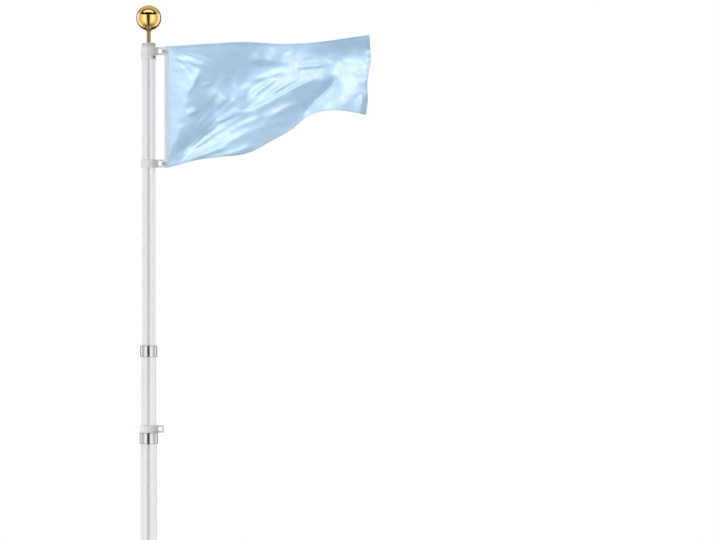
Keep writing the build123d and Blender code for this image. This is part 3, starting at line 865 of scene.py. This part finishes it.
def satin(colour):
    """Polyester satin, woven: a soft sheen over crossed threads, with painted shade darkening the hems.

    Threads are drawn 1.2 mm apart, three times too coarse, so that a close view shows
    them. Faint streaks, 83 mm long and 3.8 mm wide, stand for uneven yarn.
    """
    material, tree, shader = new_material(
        "polyester_satin_woven", linear(colour), 0.0, 0.44,
        {"Specular IOR Level": 0.8, "Sheen Weight": 0.1, "Sheen Roughness": 0.35},
    )
    place = add_node(tree, "UVMap", uv_map="cloth")
    stretched = add_node(
        tree, "Mapping", {"Vector": place, "Scale": (1 / (83.333 * MM), 1 / (3.8462 * MM), 1.0)}
    )
    yarn = add_node(tree, "TexNoise", {"Vector": stretched, "Scale": 1.0, "Detail": 2.0})
    # In the hems the colour darkens towards the shade colour: painted shade. The yarn streaks added in are
    # the cloth's own
    hem = add_node(tree, "Attribute", attribute_name="hem")
    deeper = add_node(tree, "Math", {0: hem.outputs["Fac"], 1: 0.55, 2: yarn}, operation="MULTIPLY_ADD")
    painted_hem_shade_and_yarn = add_node(tree, "MapRange", {"Value": deeper, "From Min": 0.35, "From Max": 1.35})
    shade = [s * 0.80 for s in linear(colour)[:3]]
    mixed = add_node(tree, "Mix", {"Factor": painted_hem_shade_and_yarn, 6: linear(colour), 7: (*shade, 1.0)}, data_type="RGBA")
    feed(shader, {"Base Color": mixed.outputs[2]})
    weave(tree, shader, "MAXIMUM", spacing=1.2, strength=0.35, depth=0.12)
    return material


def cotton_tape(colour):
    """Cotton tape, plain woven: matt, with a visible basket of threads 1.5 mm apart."""
    material, tree, shader = new_material("cotton_tape_woven", linear(colour), 0.0, 0.85)
    uneven_colour(tree, shader, colour, "D3D7E0", size=18)
    weave(tree, shader, "MULTIPLY", spacing=1.5, strength=0.7, depth=0.25)
    return material


def thread(name, colour):
    """Twisted polyester thread: slanting plies 0.5 mm apart and a slight sheen."""
    material, tree, shader = new_material(name, linear(colour), 0.0, 0.55, {"Sheen Weight": 0.3})
    place = add_node(tree, "TexCoord")
    plies = add_node(
        tree, "TexWave", {"Vector": place.outputs["Object"], "Scale": wave_scale(0.5)},
        bands_direction="DIAGONAL",
    )
    bump = add_node(tree, "Bump", {"Strength": 0.6, "Distance": 0.1 * MM, "Height": plies.outputs["Fac"]})
    feed(shader, {"Normal": bump})
    return material


def drawn_aluminium(colour):
    """Aluminium tube, drawn and satin anodised: blurred streaks along the tube.

    The die's lines are drawn 1.5 mm wide, coarser than real ones, and about 0.5 m long.
    """
    material, tree, shader = new_material("aluminium_tube_drawn_anodised", linear(colour), 1.0, 0.52)
    place = add_node(tree, "TexCoord")
    stretched = add_node(
        tree, "Mapping",
        {"Vector": place.outputs["Object"], "Scale": (1 / (1.5 * MM), 1 / (1.5 * MM), 1 / (500 * MM))},
    )
    lines = add_node(tree, "TexNoise", {"Vector": stretched, "Scale": 1.0, "Detail": 2.0})
    drift = add_node(
        tree, "MapRange",
        {"Value": lines, "From Min": 0.3, "From Max": 0.7, "To Min": 0.46, "To Max": 0.58},
    )
    feed(shader, {"Roughness": drift})
    bump = add_node(tree, "Bump", {"Strength": 0.3, "Distance": 0.02 * MM, "Height": lines})
    feed(shader, {"Normal": bump})
    return material


def polished_aluminium(colour):
    """Aluminium collar, turned and polished: near mirror, with faint rings of the tool."""
    material, tree, shader = new_material("aluminium_collar_turned_polished", linear(colour), 1.0, 0.07)
    handling_marks(tree, shader, size=14, smooth=0.05, rough=0.11)
    place = add_node(tree, "TexCoord")
    rings = add_node(
        tree, "TexWave", {"Vector": place.outputs["Object"], "Scale": wave_scale(0.8), "Distortion": 0.4},
        bands_direction="Z",
    )
    bump = add_node(tree, "Bump", {"Strength": 0.3, "Distance": 0.004 * MM, "Height": rings.outputs["Fac"]})
    feed(shader, {"Normal": bump})
    return material


def gold_anodised(name, colour, shade, smooth, rough):
    """Aluminium, shaped, polished and anodised gold: a mirror with faint finger marks.

    The shade is that of the patches where the dye took deeper.
    """
    material, tree, shader = new_material(name, linear(colour), 1.0, smooth)
    handling_marks(tree, shader, size=22, smooth=smooth, rough=rough)
    uneven_colour(tree, shader, colour, shade, size=60)
    return material


def moulded_plastic(name, colour, shade, grain, smooth, rough, extra=None):
    """Plastic, injection moulded: an even skin with the mould's fine grain and a dull gloss."""
    material, tree, shader = new_material(name, linear(colour), 0.0, smooth, extra)
    handling_marks(tree, shader, size=9, smooth=smooth, rough=rough)
    uneven_colour(tree, shader, colour, shade, size=25)
    place = add_node(tree, "TexCoord")
    grit = add_node(
        tree, "TexNoise", {"Vector": place.outputs["Object"], "Scale": 1 / (grain * MM), "Detail": 2.0}
    )
    bump = add_node(tree, "Bump", {"Strength": 0.25, "Distance": 0.05 * MM, "Height": grit})
    feed(shader, {"Normal": bump})
    return material


def blackened_steel():
    """Steel screw, turned and blackened: dark satin with lighter worn patches."""
    material, tree, shader = new_material("steel_screw_blackened", linear("4A4A4C"), 1.0, 0.4)
    handling_marks(tree, shader, size=2, smooth=0.3, rough=0.55)
    uneven_colour(tree, shader, "3A3A3C", "6A6866", size=3)
    return material


def steel_wire():
    """Stainless wire, drawn and bent: bright, with fine marks of the die."""
    material, tree, shader = new_material("stainless_wire_drawn", linear("C4C5C6"), 1.0, 0.22)
    handling_marks(tree, shader, size=1.5, smooth=0.16, rough=0.32)
    return material


def pressed_brass():
    """Brass eyelet, pressed from sheet: yellow, with a dull bloom of tarnish."""
    material, tree, shader = new_material("brass_eyelet_pressed", linear("CDA75A"), 1.0, 0.28)
    handling_marks(tree, shader, size=3, smooth=0.2, rough=0.42)
    uneven_colour(tree, shader, "D9B469", "A98443", size=4)
    return material


class FLAGPOLE_OT_finishes(bpy.types.Operator):
    """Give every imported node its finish"""

    bl_idname = "flagpole.finishes"
    bl_label = "Finishes"

    def execute(self, context):
        colours = context.scene.flagpole_colours
        finishes = {
            "section": drawn_aluminium(colours.tube),
            "collar": polished_aluminium(colours.collar),
            "ball": gold_anodised(
                "aluminium_ball_spun_gold_anodised", colours.gold, "E2B866", smooth=0.04, rough=0.10
            ),
            # The rod's darker gold is painted shade for the ball's shadow over it; its darker patches are
            # random
            "spindle": gold_anodised(
                "aluminium_rod_gold_anodised_painted_shade", colours.rod, "8A6E42", smooth=0.10, rough=0.20
            ),
            "ring": moulded_plastic(
                "acetal_ring_moulded", colours.ring, "C8CBCC", grain=0.9, smooth=0.28, rough=0.40,
                extra={"Coat Weight": 0.4, "Coat Roughness": 0.15},
            ),
            "bush": moulded_plastic(
                "nylon_bush_moulded", "E6E4DC", "DAD6CA", grain=0.6, smooth=0.4, rough=0.5
            ),
            "cap": moulded_plastic(
                "polypropylene_cap_moulded", colours.cap, "ABADA9", grain=0.8, smooth=0.25, rough=0.4
            ),
            "plug": moulded_plastic(
                "polypropylene_foot_moulded_black", "2A2B2C", "1E1F20", grain=1.2, smooth=0.45, rough=0.65
            ),
            "screw": blackened_steel(),
            "clip": steel_wire(),
            "eyelet": pressed_brass(),
            "flag": cotton_tape(colours.heading),
        }
        for name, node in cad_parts.items():
            node.data.materials.clear()
            node.data.materials.append(next(finish for word, finish in finishes.items() if word in name))
        return {"FINISHED"}


class FLAGPOLE_OT_stage(bpy.types.Operator):
    """Set up floor, light, surroundings and camera"""

    bl_idname = "flagpole.stage"
    bl_label = "Stage"

    def execute(self, context):
        studio = context.scene.flagpole_studio
        self.add_floor(studio)
        self.add_light("key", studio.key_strength, *KEY_LIGHT)
        self.add_light("fill", studio.fill_strength, *FILL_LIGHT)
        self.add_cloth_gloss(studio)
        self.add_surroundings(context, studio)
        self.add_camera(context, studio)
        context.scene.view_settings.view_transform = "Standard"
        return {"FINISHED"}

    def add_floor(self, studio):
        """A disc: rings of points on circles whose radii are shares of the floor's."""
        turns = np.linspace(0, math.tau, FLOOR_SIDES + 1)
        radii = np.linspace(0.0, 1.0, FLOOR_RINGS)[:, None] * studio.floor_radius
        x, y = radii * np.cos(turns), radii * np.sin(turns)
        points = np.stack([x, y, np.full(x.shape, CAD_LOW.z - FLOOR_GAP)], -1)
        floor = mesh_object("floor", points, grid_faces(*x.shape, flip=True))
        floor.data.materials.append(self.pale_floor(studio))
        floor.visible_glossy = False

    def pale_floor(self, studio):
        """Painted floor, matt: pale, and fading into the white surroundings with distance."""
        material, tree, shader = new_material("floor_painted_matt", grey(0.8), 0.0, 0.85)
        place = add_node(tree, "TexCoord")
        reach = add_node(tree, "VectorMath", {0: place.outputs["Object"]}, operation="LENGTH")
        near, far = (share * studio.floor_radius for share in FLOOR_FADE)
        fade = add_node(
            tree, "MapRange", {"Value": reach.outputs["Value"], "From Min": near, "From Max": far},
            interpolation_type="SMOOTHSTEP",
        )
        glow = add_node(tree, "Emission", {"Color": grey(1.0)})
        mixed = add_node(tree, "MixShader", {0: fade, 1: shader, 2: glow})
        feed(tree.nodes["Material Output"], {"Surface": mixed})
        return material

    def add_light(self, name, strength, towards, angle):
        """A sun that shines from a direction, and that mirrors don't show."""
        data = bpy.data.lights.new(name, "SUN")
        data.energy = strength
        data.angle = math.radians(angle)
        lamp = new_object(name, data)
        lamp.rotation_euler = (-Vector(towards)).to_track_quat("-Z", "Y").to_euler()
        lamp.visible_glossy = False
        return lamp

    def add_cloth_gloss(self, studio):
        """A broad soft light that only the cloth mirrors, for the lustre of its satin."""
        lamp = self.add_light("cloth gloss", studio.gloss_strength, *GLOSS_LIGHT)
        lamp.visible_glossy = True
        lamp.visible_diffuse = False
        lit = bpy.data.collections.new("cloth")
        lit.objects.link(bpy.data.objects["flag_cloth"])
        lamp.light_linking.receiver_collection = lit

    def add_surroundings(self, context, studio):
        """White for the camera, even for matt surfaces, and a studio for metal to mirror.

        The studio is windows round the walls, darker low down, under a ceiling that is
        dark on the camera's side but for one oval panel.
        """
        world = bpy.data.worlds.new("studio")
        context.scene.world = world
        world.use_nodes = True
        world.cycles.sampling_method = "NONE"
        tree = world.node_tree
        tree.nodes.clear()
        place = add_node(tree, "TexCoord")
        axes = add_node(tree, "SeparateXYZ", {"Vector": place.outputs["Generated"]})
        aside = add_node(tree, "Math", {0: axes.outputs["X"]}, operation="ABSOLUTE")
        forward = add_node(tree, "Math", {0: axes.outputs["Y"], 1: -1.0}, operation="MULTIPLY")
        azimuth = add_node(tree, "Math", {0: aside, 1: forward}, operation="ARCTAN2")
        half_turn = add_node(tree, "Math", {0: azimuth, 1: math.pi}, operation="DIVIDE")
        windows = add_node(
            tree, "ValToRGB", {"Fac": half_turn}, [(angle / 180, level) for angle, level in WALL_BANDS]
        )
        height = add_node(tree, "MapRange", {"Value": axes.outputs["Z"], "From Min": -1.0})
        low_walls = add_node(
            tree, "ValToRGB", {"Fac": height}, [((sine + 1) / 2, level) for sine, level in WALL_HEIGHTS]
        )
        depth = add_node(tree, "MapRange", {"Value": axes.outputs["Y"], "From Min": -1.0})
        ceiling = add_node(
            tree, "ValToRGB", {"Fac": depth}, [((side + 1) / 2, level) for side, level in CEILING_BANDS]
        )
        on_ceiling = add_node(
            tree, "VectorMath", {0: place.outputs["Generated"], 1: axes.outputs["Z"]}, operation="DIVIDE"
        )
        from_panel = add_node(tree, "Mapping", {"Vector": on_ceiling, **CEILING_PANEL})
        panel_reach = add_node(tree, "VectorMath", {0: from_panel}, operation="LENGTH")
        panel = add_node(tree, "Math", {0: panel_reach.outputs["Value"], 1: 1.0}, operation="LESS_THAN")
        lit_ceiling = add_node(tree, "Math", {0: ceiling, 1: panel}, operation="MAXIMUM")
        walls = add_node(tree, "Math", {0: windows, 1: low_walls}, operation="MULTIPLY")
        above = add_node(tree, "Math", {0: axes.outputs["Z"], 1: CEILING_SINE}, operation="GREATER_THAN")
        room = add_node(tree, "Mix", {"Factor": above, "A": walls, "B": lit_ceiling}, data_type="FLOAT")
        mirrored = add_node(tree, "Math", {0: room, 1: studio.window}, operation="MULTIPLY")
        path = add_node(tree, "LightPath")
        on_matt = add_node(
            tree, "Mix", {"Factor": path.outputs["Is Diffuse Ray"], "A": mirrored, "B": studio.ambient},
            data_type="FLOAT",
        )
        seen = add_node(
            tree, "Mix", {"Factor": path.outputs["Is Camera Ray"], "A": on_matt, "B": 1.0},
            data_type="FLOAT",
        )
        background = add_node(tree, "Background", {"Color": seen})
        add_node(tree, "OutputWorld", {"Surface": background})

    def add_camera(self, context, studio):
        """A level camera, framed by the width that it sees at the pole."""
        data = bpy.data.cameras.new("camera")
        camera = new_object("camera", data)
        camera.location = (studio.centre_x, -studio.distance, CAP_TOP - studio.centre_drop)
        camera.rotation_euler = (math.pi / 2, 0, 0)
        data.lens = data.sensor_width * studio.distance / studio.frame_width
        data.clip_end = CLIP_END
        context.scene.camera = camera


OPERATORS = [FLAGPOLE_OT_finishes, FLAGPOLE_OT_flag, FLAGPOLE_OT_trimmings, FLAGPOLE_OT_stage]


class FLAGPOLE_PT_panel(bpy.types.Panel):
    """The flagpole's tools"""

    bl_idname = "FLAGPOLE_PT_panel"
    bl_label = "Flagpole"
    bl_space_type = "VIEW_3D"
    bl_region_type = "UI"
    bl_category = "Flagpole"

    def draw(self, context):
        for operator in OPERATORS:
            self.layout.operator(operator.bl_idname)


GROUPS = {"flagpole_flag": FlagSizes, "flagpole_colours": FinishColours, "flagpole_studio": StudioSettings}


def register():
    """Registers the classes and hangs the settings on the scene."""
    for kind in [*GROUPS.values(), *OPERATORS, FLAGPOLE_PT_panel]:
        bpy.utils.register_class(kind)
    for name, group in GROUPS.items():
        setattr(bpy.types.Scene, name, PointerProperty(type=group))


def unregister():
    """Takes the settings and the classes away again."""
    for name in GROUPS:
        delattr(bpy.types.Scene, name)
    for kind in [FLAGPOLE_PT_panel, *reversed(OPERATORS), *reversed(GROUPS.values())]:
        bpy.utils.unregister_class(kind)


def main():
    """Runs every operator in order."""
    register()
    bpy.ops.flagpole.finishes()
    bpy.ops.flagpole.flag()
    bpy.ops.flagpole.trimmings()
    bpy.ops.flagpole.stage()


if __name__ == "__main__":
    main()
